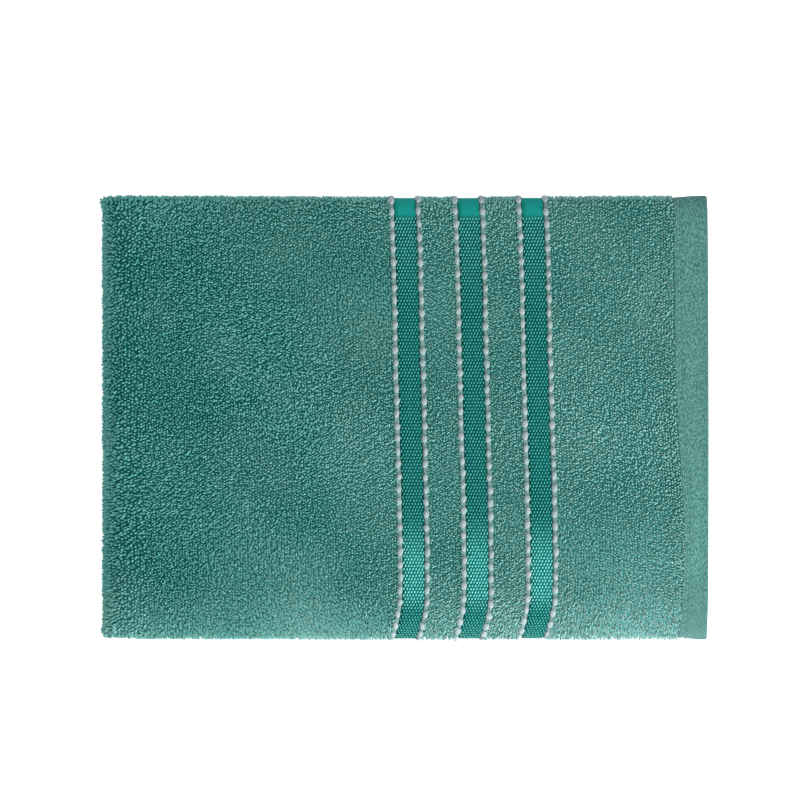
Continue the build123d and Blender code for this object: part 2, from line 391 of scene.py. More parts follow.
def terry_yarn():
    """Ring-spun cotton, reactive dyed. Matt and fuzzy: light catches the crowns of the loops. Painted haze
    greys the loops' tones.
    """
    material, tree, place = towel_material("dyed cotton terry yarn")
    loops = add(tree, "ShaderNodeTexNoise", {"Vector": place, "Scale": 1 / LOOP_TONE, "Detail": 1.0})
    tone = add(tree, "ShaderNodeMapRange", {"Value": loops, "From Min": 0.32, "From Max": 0.68})
    # The loops' own tones, and the same tones greyed by painted haze that stands in for sheen
    unhazed = add(tree, "ShaderNodeMix",
                {0: tone, 6: linear("#4DA19B"), 7: linear("#75CCC5")}, data_type="RGBA")
    hazy = add(tree, "ShaderNodeMix",
                {0: tone, 6: linear("#7DABA7"), 7: linear("#A6CDC9")}, data_type="RGBA")
    colour = add(tree, "ShaderNodeMix", {0: painted_haze(tree, place), 6: unhazed, 7: hazy}, data_type="RGBA")
    fibre = add(tree, "ShaderNodeTexNoise", {"Vector": place, "Scale": 1 / COTTON_FIBRE, "Detail": 2.0})
    finish_material(tree, colour, fibre, 0.15 * MM, Roughness=0.95,
                    Sheen_Weight=0.25, Sheen_Roughness=0.5, Sheen_Tint=linear("#CFE6E2"),
                    Specular_IOR_Level=0.2)
    return material


def terry_ground():
    """The tight plain weave under the loops, painted dark as the deep shade between them, and paler with
    painted haze.
    """
    material, tree, place = towel_material("woven terry ground")
    threads = add(tree, "ShaderNodeTexNoise", {"Vector": place, "Scale": 1 / GROUND_THREAD, "Detail": 2.0})
    # Deep tones painted for the shade between the loops; the pale tone is painted haze
    unhazed = add(tree, "ShaderNodeMix",
                {0: threads, 6: linear("#0B5650"), 7: linear("#136861")}, data_type="RGBA")
    colour = add(tree, "ShaderNodeMix",
                 {0: painted_haze(tree, place), 6: unhazed, 7: linear("#458B85")}, data_type="RGBA")
    finish_material(tree, colour, threads, 0.2 * MM, Roughness=0.95, Specular_IOR_Level=0.1)
    return material


def near_bend(tree, y, most):
    """The mask of a painted highlight: rises to most where the satin starts to bend down at -Y, and falls to
    0 past the bend.
    """
    start = add(tree, "ShaderNodeMapRange", {0: y, 1: BEND_STARTS, 2: BEND_STEEP, 4: most},
                interpolation_type="SMOOTHSTEP")
    past = add(tree, "ShaderNodeMapRange", {0: y, 1: BEND_FADES, 2: BEND_ENDS, 3: 1.0, 4: 0.0})
    return add(tree, "ShaderNodeMath", {0: start, 1: past}, operation="MULTIPLY")


def satin_float():
    """Filament viscose woven in long floats. Their shine where the cloth starts to bend, and towards the far
    edge, is a painted highlight.
    """
    material, tree, place = towel_material("viscose satin float")
    patch = add(tree, "ShaderNodeTexNoise", {"Vector": place, "Scale": 1 / FLOAT_PATCH, "Detail": 1.0})
    plain = add(tree, "ShaderNodeMix",
                {0: patch, 6: linear("#128E87"), 7: linear("#2FABA3")}, data_type="RGBA")
    # Painted highlight colours for the floats
    bright = add(tree, "ShaderNodeMix",
                 {0: patch, 6: linear("#4CC8C0"), 7: linear("#86E2DC")}, data_type="RGBA")
    y = add(tree, "ShaderNodeSeparateXYZ", {0: place}).outputs[1]
    far = add(tree, "ShaderNodeMapRange", {0: y, 1: FAR_SHINE_FROM, 2: FAR_SHINE_TO, 4: FAR_SHINE})
    shine = add(tree, "ShaderNodeMath", {0: near_bend(tree, y, 1.0), 1: far}, operation="ADD")
    colour = add(tree, "ShaderNodeMix", {0: shine, 6: plain, 7: bright}, data_type="RGBA")
    finish_material(tree, colour, patch, 0.05 * MM, Roughness=0.4, Specular_IOR_Level=0.7)
    return material


def satin_ground():
    """The binding warp under the floats, in shade. A painted highlight makes it paler at the near bend, and
    smooth and bright at the far edge.
    """
    material, tree, place = towel_material("viscose satin ground")
    patch = add(tree, "ShaderNodeTexNoise", {"Vector": place, "Scale": 1 / SATIN_THREAD, "Detail": 1.0})
    deep = add(tree, "ShaderNodeMix",
               {0: patch, 6: linear("#004843"), 7: linear("#005A54")}, data_type="RGBA")
    # Painted highlight colours: pale at the near bend, smooth and bright at the far edge
    gleaming_face = add(tree, "ShaderNodeMix",
                      {0: patch, 6: linear("#12857D"), 7: linear("#1C9890")}, data_type="RGBA")
    y = add(tree, "ShaderNodeSeparateXYZ", {0: place}).outputs[1]
    at_edge = add(tree, "ShaderNodeMapRange", {0: y, 1: FAR_GLEAM_FROM, 2: FAR_GLEAM_TO})
    lift = add(tree, "ShaderNodeMath", {0: at_edge, 1: near_bend(tree, y, GROUND_SHINE)}, operation="ADD")
    colour = add(tree, "ShaderNodeMix", {0: lift, 6: deep, 7: gleaming_face}, data_type="RGBA")
    finish_material(tree, colour, patch, 0.1 * MM, Roughness=0.6, Specular_IOR_Level=0.05)
    return material


def bead_yarn():
    """Undyed slub of combed cotton: pale, soft and fibrous, with faint grey and rose."""
    material, tree, place = towel_material("undyed cotton slub yarn")
    strand = add(tree, "ShaderNodeTexNoise", {"Vector": place, "Scale": 1 / SLUB_STRAND, "Detail": 2.0})
    tone = add(tree, "ShaderNodeMapRange", {"Value": strand, "From Min": 0.35, "From Max": 0.65})
    colour = add(tree, "ShaderNodeMix",
                 {0: tone, 6: linear("#8DA8A9"), 7: linear("#A7AFB5")}, data_type="RGBA")
    finish_material(tree, colour, strand, 0.25 * MM, Roughness=0.85,
                    Sheen_Weight=0.3, Sheen_Roughness=0.4, Specular_IOR_Level=0.25)
    return material


def binding_yarn():
    """Dyed cotton that ties the slubs down. Its grey-green is partly the yarn's own colour, partly painted
    shade between the beads.
    """
    material, tree, place = towel_material("dyed cotton binding yarn")
    strand = add(tree, "ShaderNodeTexNoise", {"Vector": place, "Scale": 1 / BINDING_STRAND, "Detail": 2.0})
    # Grey-green, partly painted shade between the beads
    colour = add(tree, "ShaderNodeMix",
                 {0: strand, 6: linear("#5B847F"), 7: linear("#8AA5A1")}, data_type="RGBA")
    finish_material(tree, colour, strand, 0.2 * MM, Roughness=0.9, Specular_IOR_Level=0.2)
    return material


def hem_weave():
    """Flat weave of the same dyed cotton, a little greyer: fine ribs that cross like a herringbone."""
    material, tree, place = towel_material("flat-woven cotton hem")
    ribs = []
    for slant in (RIB_SLANT, -RIB_SLANT):
        turned = add(tree, "ShaderNodeMapping", {"Vector": place, "Rotation": (0, 0, slant),
                                                 "Scale": (1.0, RIB_STRETCH, 1.0)})
        ribs.append(add(tree, "ShaderNodeTexNoise", {"Vector": turned, "Scale": 1 / HEM_RIB,
                                                     "Detail": 1.0}))
    both = add(tree, "ShaderNodeMath", {0: ribs[0], 1: ribs[1]}, operation="ADD")
    tone = add(tree, "ShaderNodeMapRange", {"Value": both, "From Min": 0.76, "From Max": 1.24})
    weave = add(tree, "ShaderNodeMix",
                {0: tone, 6: linear("#265953"), 7: linear("#5F958F")}, data_type="RGBA")
    axes = add(tree, "ShaderNodeSeparateXYZ", {0: place}).outputs
    # Darker along the cut end and towards the near edge
    at_end = add(tree, "ShaderNodeMapRange",
                 {0: axes[0], 1: HEM_X - HEM_DARK_WIDTH, 2: HEM_X, 4: HEM_DARK_END})
    at_near = add(tree, "ShaderNodeMapRange",
                  {0: axes[1], 1: HEM_DARK_FROM, 2: HEM_DARK_TO, 4: HEM_DARK_NEAR})
    darker_edge = add(tree, "ShaderNodeMath", {0: at_end, 1: at_near}, operation="MAXIMUM")
    colour = add(tree, "ShaderNodeMix", {0: darker_edge, 6: weave, 7: linear("#3A5F5B")}, data_type="RGBA")
    finish_material(tree, colour, both, 0.3 * MM, Roughness=0.9,
                    Sheen_Weight=0.25, Sheen_Roughness=0.5, Sheen_Tint=linear("#CFE6E2"),
                    Specular_IOR_Level=0.2)
    return material


def seam_thread():
    """Spun polyester sewing thread, a shade greyer than the hem."""
    material, tree, place = towel_material("polyester sewing thread")
    twist = add(tree, "ShaderNodeTexNoise", {"Vector": place, "Scale": 1 / SEAM_TWIST})
    colour = add(tree, "ShaderNodeMix",
                 {0: twist, 6: linear("#527E79"), 7: linear("#76A09B")}, data_type="RGBA")
    finish_material(tree, colour, twist, 0.1 * MM, Roughness=0.6)
    return material


TERRY, GROUND, FLOAT, SATIN, BEAD, BINDING, HEM, THREAD = (
    make() for make in (terry_yarn, terry_ground, satin_float, satin_ground, bead_yarn,
                        binding_yarn, hem_weave, seam_thread))


# Pieces of cloth

def new_object(name, data):
    made = bpy.data.objects.new(name, data)
    bpy.context.scene.collection.objects.link(made)
    return made


def new_piece(name, points, faces, material):
    mesh = bpy.data.meshes.new(name)
    mesh.from_pydata(points.reshape(-1, 3).tolist(), [], faces)
    mesh.materials.append(material)
    mesh.polygons.foreach_set("use_smooth", [True] * len(mesh.polygons))
    return new_object(name, mesh)


def stops(*runs):
    """Grid lines: each run is (from, to, number of steps)."""
    return np.unique(np.concatenate([np.linspace(a, b, n + 1) for a, b, n in runs]))


def spread(low, high, pitch):
    """Evenly spaced places between two ends, as near the pitch as they go."""
    number = max(1, round((high - low) / pitch))
    return low + (np.arange(number) + 0.5) * (high - low) / number


def stagger(number):
    """Shifts for a number of rows, so that each lies half a step from the next."""
    return np.arange(number) % 2 * 0.5 - 0.25


def shell(us, vs):
    """Faces of a closed sheet: a grid on each side of the cloth, joined round its edge."""
    nu, nv = len(us), len(vs)
    faces = []
    for i in range(nu - 1):
        for j in range(nv - 1):
            a, b, c, d = i * nv + j, (i + 1) * nv + j, (i + 1) * nv + j + 1, i * nv + j + 1
            faces += [(a, b, c, d), (a + nu * nv, d + nu * nv, c + nu * nv, b + nu * nv)]
    rim = ([i * nv for i in range(nu)] + [(nu - 1) * nv + j for j in range(1, nv)]
           + [i * nv + nv - 1 for i in range(nu - 2, -1, -1)] + list(range(nv - 2, 0, -1)))
    for a, b in zip(rim, rim[1:] + rim[:1]):
        faces.append((b, a, a + nu * nv, b + nu * nv))
    return faces


MAP = "OFBake"  # the piece's own flat map, laid out so that its materials can be baked
GAP = 0.01  # left free between the parts of a map
SIDE_WIDE, SIDE_TALL = 0.48, 0.90
RIM_TALL = 0.06
GRAIN_CELL = ((0.06, 0.06), (0.94, 0.06), (0.94, 0.94), (0.06, 0.94))
GRAIN_TRIANGLE = ((0.04, 0.06), (0.96, 0.06), (0.5, 0.96))


def set_map(piece, places):
    layer = piece.data.uv_layers.new(name=MAP)
    layer.uv.foreach_set("vector", places.astype(np.float32).ravel())


def sheet_map(us, vs, part):
    """Lays a closed sheet out flat: its two sides next to each other, and its edge as a strip below."""
    low, high = part
    nu, nv = len(us), len(vs)
    a = (us - us[0]) / (us[-1] - us[0])
    b = (vs - vs[0]) / (vs[-1] - vs[0])
    i, j = np.meshgrid(np.arange(nu - 1), np.arange(nv - 1), indexing="ij")
    i, j = i.ravel(), j.ravel()
    top = np.stack([np.stack([a[i + di], b[j + dj]], -1) for di, dj in ((0, 0), (1, 0), (1, 1), (0, 1))], 1)
    under = top[:, [0, 3, 2, 1]]
    above_rim = 1 - GAP - SIDE_TALL
    top = top * (SIDE_WIDE, SIDE_TALL) + (GAP, above_rim)
    under = under * (SIDE_WIDE, SIDE_TALL) + (0.5 + GAP, above_rim)
    sides = np.stack([top, under], 1).reshape(-1, 4, 2)
    count = 2 * (nu + nv) - 4
    length = (1 - 2 * GAP) / count
    start = GAP + length * np.arange(count)
    end = start + length
    low_edge, high_edge = np.full(count, GAP), np.full(count, GAP + RIM_TALL)
    rim = np.stack([np.stack([end, high_edge], -1), np.stack([start, high_edge], -1),
                    np.stack([start, low_edge], -1), np.stack([end, low_edge], -1)], 1)
    places = np.concatenate([sides, rim])
    return places * (high - low, 1) + (low, 0)


def grain_map(faces, corners, part):
    """Lays out a repeated shape's faces, one to a cell of a square grid."""
    low, high = part
    across = math.ceil(math.sqrt(faces))
    cell = np.stack([np.arange(faces) % across, np.arange(faces) // across], -1)
    shape = GRAIN_TRIANGLE if corners == 3 else GRAIN_CELL
    places = (cell[:, None] + np.array(shape)) / across
    return places * (high - low, 1) + (low, 0)


def sheet_piece(name, towel, us, vs, half, material, lift=0.0, part=(0, 1)):
    """A closed sheet of cloth over the grid us by vs; half gives half its thickness at each v."""
    u, v = np.meshgrid(us, vs, indexing="ij")
    top = cloth_place(towel, u, v, lift + half(v))
    under = cloth_place(towel, u, v, lift - half(v))
    piece = new_piece(name, np.concatenate([top.reshape(-1, 3), under.reshape(-1, 3)]),
                      shell(us, vs), material)
    set_map(piece, sheet_map(us, vs, part))
    share = fold_share(np.concatenate([v.ravel(), v.ravel()]))
    return piece, share


U_STEPS = (14, 9, 20, 12, 14)  # grid steps on each length of cloth along u
V_STEPS = (18, 22, 18, 10, 18, 10, 18)  # the same along v
BESIDE_NEAR_FOLD = np.array([2, 4, 6.5, 10, 15, 22]) * MM
BESIDE_FAR_FOLD = np.array([2, 4.5, 9, 14]) * MM
UNDER_NEAR_FOLD = np.array([2, 4, 8, 14, 20]) * MM
CLOSEST_LINES = 0.1 * MM


def between(lines, low, high):
    """The two ends with the grid lines that lie well inside them."""
    inside = (lines > low + CLOSEST_LINES) & (lines < high - CLOSEST_LINES)
    return np.concatenate([[low], lines[inside], [high]])


def u_lines(low, high):
    """Grid lines across the cloth, close together round the long-edge folds."""
    ends = [*U_STOPS, U_END]
    lines = stops(*zip(ends, ends[1:], U_STEPS))
    near_edges = np.concatenate([OUTER_FROM + BESIDE_NEAR_FOLD, OUTER_TO - BESIDE_FAR_FOLD,
                                 U_STOPS[1] - UNDER_NEAR_FOLD])
    return between(np.unique(np.concatenate([lines, near_edges])), low, high)


def v_lines(low, high):
    """Grid lines along the cloth, close together round the folds."""
    return between(stops(*zip(V_STOPS, V_STOPS[1:], V_STEPS)), low, high)


FINE_PLACES = 4000


def even_places(towel, low, high, pitch, v, h):
    """Places across the cloth, evenly spaced along its folded and rounded surface."""
    fine = np.linspace(low, high, FINE_PLACES)
    steps = np.linalg.norm(np.diff(cloth_place(towel, fine, v, h), axis=0), axis=-1)
    length = np.concatenate([[0], np.cumsum(steps)])
    return np.interp(spread(0, length[-1], pitch), length, fine)


# What repeats: loops, beads, floats and stitches, each a small shape set on points of the cloth

def sockets(tree, names):
    for name, kind in names.items():
        tree.interface.new_socket(name, in_out="INPUT", socket_type=kind)
    tree.interface.new_socket("Geometry", in_out="OUTPUT", socket_type="NodeSocketGeometry")


def planting_tree(name, shape_inputs, build_shape):
    """A tree that sets one shape on every point, its foot on the cloth and its top outwards."""
    tree = bpy.data.node_groups.new(name, "GeometryNodeTree")
    sockets(tree, {"Points": "NodeSocketGeometry", **shape_inputs, "Spin": "NodeSocketFloat",
                   "Lean": "NodeSocketFloat", "Size change": "NodeSocketFloat",
                   "Seed": "NodeSocketInt", "Material": "NodeSocketMaterial"})
    given = add(tree, "NodeGroupInput").outputs
    shape = build_shape(tree, given)
    out = add(tree, "GeometryNodeInputNamedAttribute", {"Name": "out"}, data_type="FLOAT_VECTOR")
    along = add(tree, "GeometryNodeInputNamedAttribute", {"Name": "along"}, data_type="FLOAT_VECTOR")
    stand = add(tree, "FunctionNodeAxesToRotation",
                {0: out, 1: along}, primary_axis="Z", secondary_axis="X")
    limits = add(tree, "ShaderNodeCombineXYZ", {0: given["Lean"], 1: given["Lean"], 2: given["Spin"]})
    least = add(tree, "ShaderNodeVectorMath", {0: limits, 1: (-1, -1, -1)}, operation="MULTIPLY")
    turn = add(tree, "FunctionNodeRandomValue",
               {0: least, 1: limits, "Seed": given["Seed"]}, data_type="FLOAT_VECTOR")
    twist = add(tree, "FunctionNodeEulerToRotation", {0: turn})
    stance = add(tree, "FunctionNodeRotateRotation", {0: stand, 1: twist}, rotation_space="LOCAL")
    change = add(tree, "ShaderNodeCombineXYZ",
                 {0: given["Size change"], 1: given["Size change"], 2: given["Size change"]})
    small = add(tree, "ShaderNodeVectorMath", {0: (1, 1, 1), 1: change}, operation="SUBTRACT")
    large = add(tree, "ShaderNodeVectorMath", {0: (1, 1, 1), 1: change}, operation="ADD")
    size = add(tree, "FunctionNodeRandomValue",
               {0: small, 1: large, "Seed": given["Seed"]},
               data_type="FLOAT_VECTOR")
    planted = add(tree, "GeometryNodeInstanceOnPoints",
                  {"Points": given["Points"], "Instance": shape, "Rotation": stance,
                   "Scale": size})
    real = add(tree, "GeometryNodeRealizeInstances", {0: planted})
    rounded_off = add(tree, "GeometryNodeSetShadeSmooth", {0: real})
    dressed = add(tree, "GeometryNodeSetMaterial", {0: rounded_off, "Material": given["Material"]})
    add(tree, "NodeGroupOutput", {0: dressed})
    return tree


LOOP_BULGE = 1.4  # how far the loop's first leg leans out, in half spans
LOOP_TWIST = 0.9  # how far its second leg leans aside
LOOP_RISE = 1.33  # height of the curve's handles, in loop heights
YARN_SIDES = 3


def loop_shape(tree, given):
    """One pile loop: a thread that leaves the ground, turns over and goes back."""
    half = add(tree, "ShaderNodeMath", {0: given["Loop span"], 1: 0.5}, operation="MULTIPLY")
    far = add(tree, "ShaderNodeMath", {0: half, 1: -1.0}, operation="MULTIPLY")
    wide = add(tree, "ShaderNodeMath", {0: far, 1: LOOP_BULGE}, operation="MULTIPLY")
    high = add(tree, "ShaderNodeMath", {0: given["Loop height"], 1: LOOP_RISE}, operation="MULTIPLY")
    side = add(tree, "ShaderNodeMath", {0: half, 1: LOOP_TWIST}, operation="MULTIPLY")
    thread = add(tree, "GeometryNodeCurvePrimitiveBezierSegment", {
        "Resolution": given["Loop steps"],
        "Start": add(tree, "ShaderNodeCombineXYZ", {0: far}),
        "Start Handle": add(tree, "ShaderNodeCombineXYZ", {0: wide, 2: high}),
        "End Handle": add(tree, "ShaderNodeCombineXYZ", {0: half, 1: side, 2: high}),
        "End": add(tree, "ShaderNodeCombineXYZ", {0: half})})
    yarn = add(tree, "GeometryNodeCurvePrimitiveCircle",
               {"Resolution": YARN_SIDES, "Radius": given["Yarn radius"]})
    return add(tree, "GeometryNodeCurveToMesh", {"Curve": thread, "Profile Curve": yarn})


def grain_shape(tree, given):
    """A rounded grain, such as a bead, a float or a stitch, with its own length, width and height."""
    ball = add(tree, "GeometryNodeMeshIcoSphere", {"Radius": 0.5, "Subdivisions": given["Fineness"]})
    size = add(tree, "ShaderNodeCombineXYZ", {0: given["Width"], 1: given["Length"], 2: given["Height"]})
    return add(tree, "GeometryNodeTransform", {"Geometry": ball, "Scale": size})


LENGTH = "NodeSocketFloat"
LOOP_TREE = planting_tree(
    "terry loops", {"Loop span": LENGTH, "Loop height": LENGTH, "Yarn radius": LENGTH,
                    "Loop steps": "NodeSocketInt"}, loop_shape)
GRAIN_TREE = planting_tree(
    "woven grains", {"Fineness": "NodeSocketInt", "Width": LENGTH, "Length": LENGTH, "Height": LENGTH},
    grain_shape)


def plant(name, towel, u, v, h, tree, values, nap=(0, 0), slant=0.0, part=(0, 1)):
    """Sets the tree's shape on points of the cloth and returns the plain mesh piece.

    nap tips the shapes over, slant turns them all on the cloth, and part is their share of the map.
    """
    out, along = cloth_axes(towel, u, v, h)
    across = np.cross(out, along)
    nap = np.broadcast_to(nap, (len(out), 2))
    out = out + nap[:, :1] * along + nap[:, 1:] * across
    out /= np.linalg.norm(out, axis=-1, keepdims=True)
    along = math.cos(slant) * along + math.sin(slant) * across
    mesh = bpy.data.meshes.new(name)
    mesh.from_pydata(cloth_place(towel, u, v, h).tolist(), [], [])
    for key, vectors in (("out", out), ("along", along)):
        mesh.attributes.new(key, "FLOAT_VECTOR", "POINT").data.foreach_set("vector", vectors.ravel())
    piece = new_object(name, mesh)
    modifier = piece.modifiers.new("planting", "NODES")
    modifier.node_group = tree
    for item in tree.interface.items_tree:
        if item.in_out == "INPUT" and item.name in values:
            modifier[item.identifier] = values[item.name]
    seen = piece.evaluated_get(bpy.context.evaluated_depsgraph_get())
    made = bpy.data.meshes.new_from_object(seen)
    piece.modifiers.clear()
    piece.data = made
    made.name = name
    for key in [a.name for a in made.attributes if a.name in ("out", "along")]:
        made.attributes.remove(made.attributes[key])
    faces = len(made.polygons)
    set_map(piece, grain_map(faces, len(made.loops) // faces, part))
    return piece


# Terry pile

LOOP_ROW = 1.35 * MM  # from one row of loops to the next, along the cloth
LOOP_END = 1.48 * MM  # from one pile thread to the next, across it
LOOP_SPAN = 0.59 * MM  # between a loop's two feet
YARN_RADIUS = 0.41 * MM  # thicker than real yarn, because each loop stands for a few real ones
LOOP_TALL, LOOP_LOW = 1.85 * MM, 1.5 * MM
LOOP_STANCE = {"Spin": 0.85, "Lean": 0.24, "Size change": 0.28, "Seed": 3, "Material": TERRY}
STRAY = 0.3  # share of the spacing by which a loop strays from its even place
NAP = 0.2  # how far the pile's nap leans, as soft waves over the cloth
LOOP_FOOT = 0.5 * GROUND_HALF
DENSE, ON_FOLD, ON_EDGE, SPARSE = 1.0, 1.22, 1.33, 1.86  # spacing of the loops in each place
FINE_LOOP, PLAIN_LOOP = 3, 2  # steps round a loop
EDGE_PILE_NEAR, EDGE_PILE_FAR = 9 * MM, 6 * MM  # how far in from the folds the long edges' pile goes
BARE_BAND = (CORD_SPACING + CORD_WIDTH) / 2 - 0.8 * MM
MOST_LOOPS = 11000  # in one piece
rng = np.random.default_rng(7)


def pile_rows(low, high, coarse):
    """Rows of loops along v, with bare bands left out. Round the folds the outer face is longer."""
    outer_face = (OUTER_RADIUS + PLY_PITCH + HALF_PLY) / OUTER_RADIUS
    right_face = (INNER_RADIUS + PLY_PITCH + HALF_PLY) / INNER_RADIUS
    closer = {1: outer_face, 3: right_face}
    band_edges = [from_end + side * BARE_BAND for from_end in BAND_FROM_END for side in (-1, 1)]
    cuts = sorted([HEM_WIDTH, V_END - HEM_WIDTH, *V_STOPS[1:-1], *band_edges,
                   *(V_END - edge for edge in band_edges)])
    rows = []
    for a, b in zip(cuts, cuts[1:]):
        middle = (a + b) / 2
        in_band = any(abs(min(middle, V_END - middle) - from_end) < BARE_BAND for from_end in BAND_FROM_END)
        part = int(np.searchsorted(V_STOPS, middle)) - 1
        if low <= middle <= high and not in_band:
            rows.append(spread(a, b, coarse * LOOP_ROW / closer.get(part, 1)))
    return np.concatenate(rows)


def pile_threads(low, high, coarse):
    """Pile threads across u, closer together round the long edges for the same reason."""
    closer = {1: (NEAR_RADIUS + HALF_PLY) / NEAR_RADIUS, 3: (FAR_RADIUS + HALF_PLY) / FAR_RADIUS}
    threads = []
    parts = list(U_STOPS) + [U_END]
    for part in range(5):
        a, b = max(low, parts[part]), min(high, parts[part + 1])
        if b - a > LOOP_END / 3:
            threads.append(spread(a, b, coarse * LOOP_END / closer.get(part, 1)))
    return np.concatenate(threads)


def pile(name, towel, threads, rows, tall, coarse, steps):
    """Loops over the threads and rows given, in pieces that stay light. Returns pieces and fold shares."""
    u, v = np.meshgrid(threads, rows, indexing="ij")
    u = u + stagger(len(rows)) * coarse * LOOP_END
    u = (u + rng.uniform(-STRAY, STRAY, u.shape) * LOOP_END).ravel()
    v = (v + rng.uniform(-STRAY, STRAY, v.shape) * LOOP_ROW).ravel()
    nap = NAP * np.stack([np.sin(31 * v + 17 * u) + np.sin(63 * u - 22 * v + 1.0),
                          np.sin(47 * u + 1.3) + np.sin(38 * v - 29 * u + 0.4)], -1)
    made = []
    pieces = math.ceil(len(u) / MOST_LOOPS)
    order = np.argsort(v, kind="stable")
    for number, part in enumerate(np.array_split(order, pieces), 1):
        label = name if pieces == 1 else f"{name}_{number}"
        values = {"Loop span": LOOP_SPAN * coarse, "Loop height": tall,
                  "Yarn radius": YARN_RADIUS * coarse, "Loop steps": steps, **LOOP_STANCE}
        piece = plant(label, towel, u[part], v[part], LOOP_FOOT, LOOP_TREE, values, nap[part])
        share = np.repeat(fold_share(v[part]), len(piece.data.vertices) // len(part))
        made.append((piece, share))
    return made


UPPER, TOP_HALF = "upper_towel", "upper_towel_top_half"
FOLD_LINE = (FOLD_X, 0, MIDDLE_Z["upper"])


def follow(towel, piece, share):
    """Rides a piece on its body, or bends it round the fold by the share that each point has."""
    if towel == "lower":
        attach(piece, "lower_towel")
    elif share.min() == 1:
        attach(piece, TOP_HALF)
    elif share.max() == 0:
        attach(piece, UPPER)
    else:
        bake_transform(piece, UPPER, TOP_HALF, start=FOLD_LINE, end=(HEM_X, 0, MIDDLE_Z["upper"]))
        piece.data.attributes["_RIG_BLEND"].data.foreach_set("value", share.astype(np.float32))


def towel_pile(towel):
    """All the pile that shows: dense outside, and sparser where only an opened fold shows it."""
    across = {size: pile_threads(U_STOPS[1], U_STOPS[4], size) for size in (DENSE, ON_FOLD, SPARSE)}
    edges = np.concatenate([pile_threads(U_STOPS[1], OUTER_FROM + EDGE_PILE_NEAR, ON_EDGE),
                            pile_threads(OUTER_TO - EDGE_PILE_FAR, U_STOPS[4], ON_EDGE)])
    top = (DENSE, FINE_LOOP) if towel == "upper" else (SPARSE, PLAIN_LOOP)
    runs = [("top", 0, 1, across[top[0]], LOOP_TALL, *top),
            ("outer_fold", 1, 2, across[ON_FOLD], LOOP_TALL, ON_FOLD, FINE_LOOP),
            ("bottom_edges", 2, 3, edges, LOOP_LOW, ON_EDGE, FINE_LOOP),
            ("right_fold", 3, 4, across[ON_FOLD], LOOP_LOW, ON_FOLD, FINE_LOOP),
            ("inner_fold", 5, 6, edges, LOOP_LOW, ON_EDGE, FINE_LOOP)]
    for panel, part in (("second", 4), ("third", 6)):
        if towel == "upper":
            runs.append((panel, part, part + 1, across[SPARSE], LOOP_LOW, SPARSE, PLAIN_LOOP))
        else:
            runs.append((f"{panel}_edges", part, part + 1, edges, LOOP_LOW, ON_EDGE, FINE_LOOP))
    for part_name, first, last, threads, height, coarse, steps in runs:
        rows = pile_rows(V_STOPS[first], V_STOPS[last], coarse)
        for piece, share in pile(f"{towel}_pile_{part_name}", towel, threads, rows, height, coarse, steps):
            follow(towel, piece, share)


# Bands, cords, hems and seams

FLOAT_PITCH = 1.61 * MM
FLOAT_ROW = 1.74 * MM
FLOATS_ACROSS = 7
FLOAT_SLANT = math.radians(-16)
FLOAT_STRAY = 0.06  # share of the spacing
FLOAT_SHAPE = {"Fineness": 1, "Width": 0.95 * MM, "Length": 1.75 * MM, "Height": 0.7 * MM,
               "Spin": 0.14, "Lean": 0.06, "Size change": 0.08, "Seed": 11, "Material": FLOAT}
SATIN_LIFT = 1.15 * MM  # of its middle over the middle of the cloth
SATIN_HALF = 0.35 * MM
FLOAT_LIFT = SATIN_LIFT + 0.42 * MM
SATIN_SMOOTH = 5 * MM  # how far from the far edge the floats stop showing
BEAD_PITCH = 6.7 * MM
BEAD_STRAY, BEAD_STRAY_ASIDE = 0.05, 0.28 * MM
BEAD_SHAPE = {"Fineness": 2, "Width": 3.1 * MM, "Length": 4.5 * MM, "Height": 2.4 * MM,
              "Spin": 0.28, "Lean": 0.08, "Size change": 0.13, "Material": BEAD}
BEAD_LIFT = 1.75 * MM
BINDING_WIDTH, BINDING_HALF, BINDING_LIFT = 2.2 * MM, 0.3 * MM, 1.15 * MM
BAND_FROM_U, BAND_TO_U = U_STOPS[1] - 6 * MM, U_STOPS[4] + 8 * MM
CUT_ROUND = 1.0 * MM  # the hem's cut end is rounded over this length
SEAM_PINCH, PINCH_WIDTH = 0.35, 0.9 * MM
HEM_LINES = np.array([0, 0.4, 1.0, 3, 6, 9, 12, 14.4, 15.2, 16, 16.8, 17.6, 18.7]) * MM
SIDE_HEM_LINES = np.array([0, 0.5, 2, 4, 6, 7.5, 8]) / 8  # shares of the hem's width
STITCH_PITCH, STITCH_FROM = 3.0 * MM, 4 * MM
STITCH_LIFT = 0.72 * HEM_HALF
STITCH_SHAPE = {"Fineness": 1, "Width": 0.7 * MM, "Length": 2.6 * MM, "Height": 0.6 * MM,
                "Spin": 0.05, "Lean": 0.02, "Size change": 0.05, "Seed": 2, "Material": THREAD}


def even(half):
    """The thickness of a sheet that is the same all along."""
    return lambda v: np.full_like(v, half)


def join(name, pieces):
    """Joins pieces into the first and names it."""
    with bpy.context.temp_override(active_object=pieces[0], selected_editable_objects=pieces):
        bpy.ops.object.join()
    pieces[0].name = pieces[0].data.name = name
    return pieces[0]


